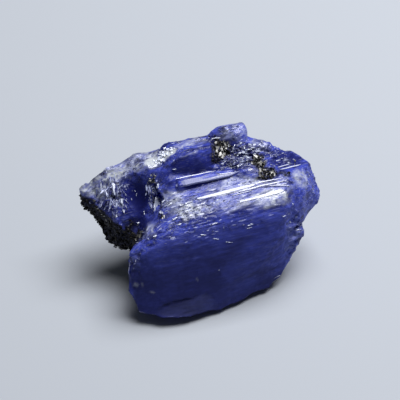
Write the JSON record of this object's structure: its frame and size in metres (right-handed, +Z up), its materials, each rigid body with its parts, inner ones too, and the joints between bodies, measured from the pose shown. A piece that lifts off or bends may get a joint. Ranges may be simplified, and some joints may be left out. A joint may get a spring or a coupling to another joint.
{
  "type": "rough tanzanite crystal",
  "caption": "Rough blue-violet tanzanite: two striated crystals grown together, broken at both ends, with dark matrix, resting on a flat cleaved base.",
  "frame": {"origin": "on the resting surface, under the middle of the stone's bounding box", "axes": "+Z up, +X along the striations, -Y towards the smooth front face"},
  "size_m": [0.0234, 0.0146, 0.0149],
  "materials": {
    "tanzanite_crystal": "glassy striated crystal, deep blue-violet, frosted on its broken parts",
    "dark_matrix": "grainy graphite-dark matrix",
    "pale_grain": "glinting pale yellow-grey grains",
    "white_frost": "white translucent splinters and frosting"
  },
  "bodies": {
    "root": {"tanzanite": "tanzanite_crystal"}
  },
  "joints": []
}
